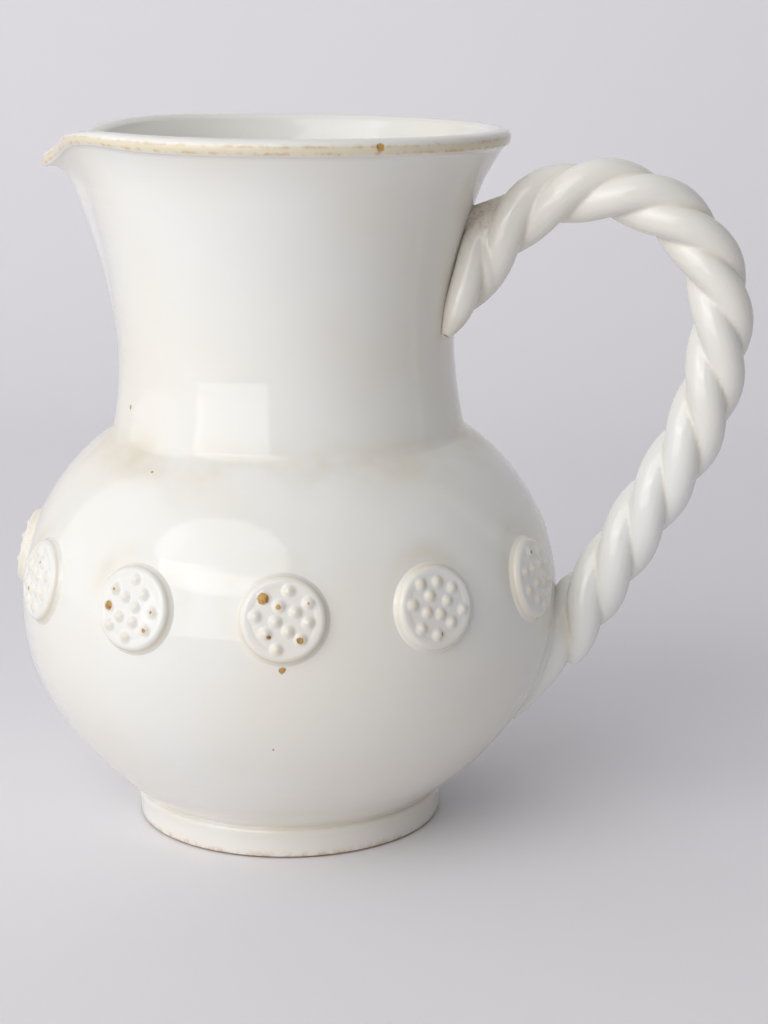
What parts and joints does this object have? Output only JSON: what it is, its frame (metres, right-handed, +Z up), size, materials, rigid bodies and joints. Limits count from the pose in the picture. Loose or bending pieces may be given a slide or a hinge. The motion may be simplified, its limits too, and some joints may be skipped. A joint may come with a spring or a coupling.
{
  "type": "pitcher",
  "caption": "Glazed earthenware jug: round belly on a low foot, flared neck with rolled rim and pulled lip, twisted rope handle, ring of raised round prunts with dots.",
  "frame": {"origin": "on the jug's upright axis, in the plane that the foot ring stands on", "axes": "+Z up, +X from the axis towards the handle, so the pouring lip points to -X; +Y completes a right-handed frame"},
  "size_m": [0.227, 0.1725, 0.2162],
  "materials": {
    "glaze": "gloss"
  },
  "bodies": {
    "root": {"jug_body": "glaze", "handle_strand_1": "glaze", "handle_strand_2": "glaze", "handle_strand_3": "glaze", "prunt_01": "glaze", "prunt_02": "glaze", "prunt_03": "glaze", "prunt_04": "glaze", "prunt_05": "glaze", "prunt_06": "glaze", "prunt_07": "glaze", "prunt_08": "glaze", "prunt_09": "glaze", "prunt_10": "glaze", "prunt_11": "glaze"}
  },
  "joints": []
}
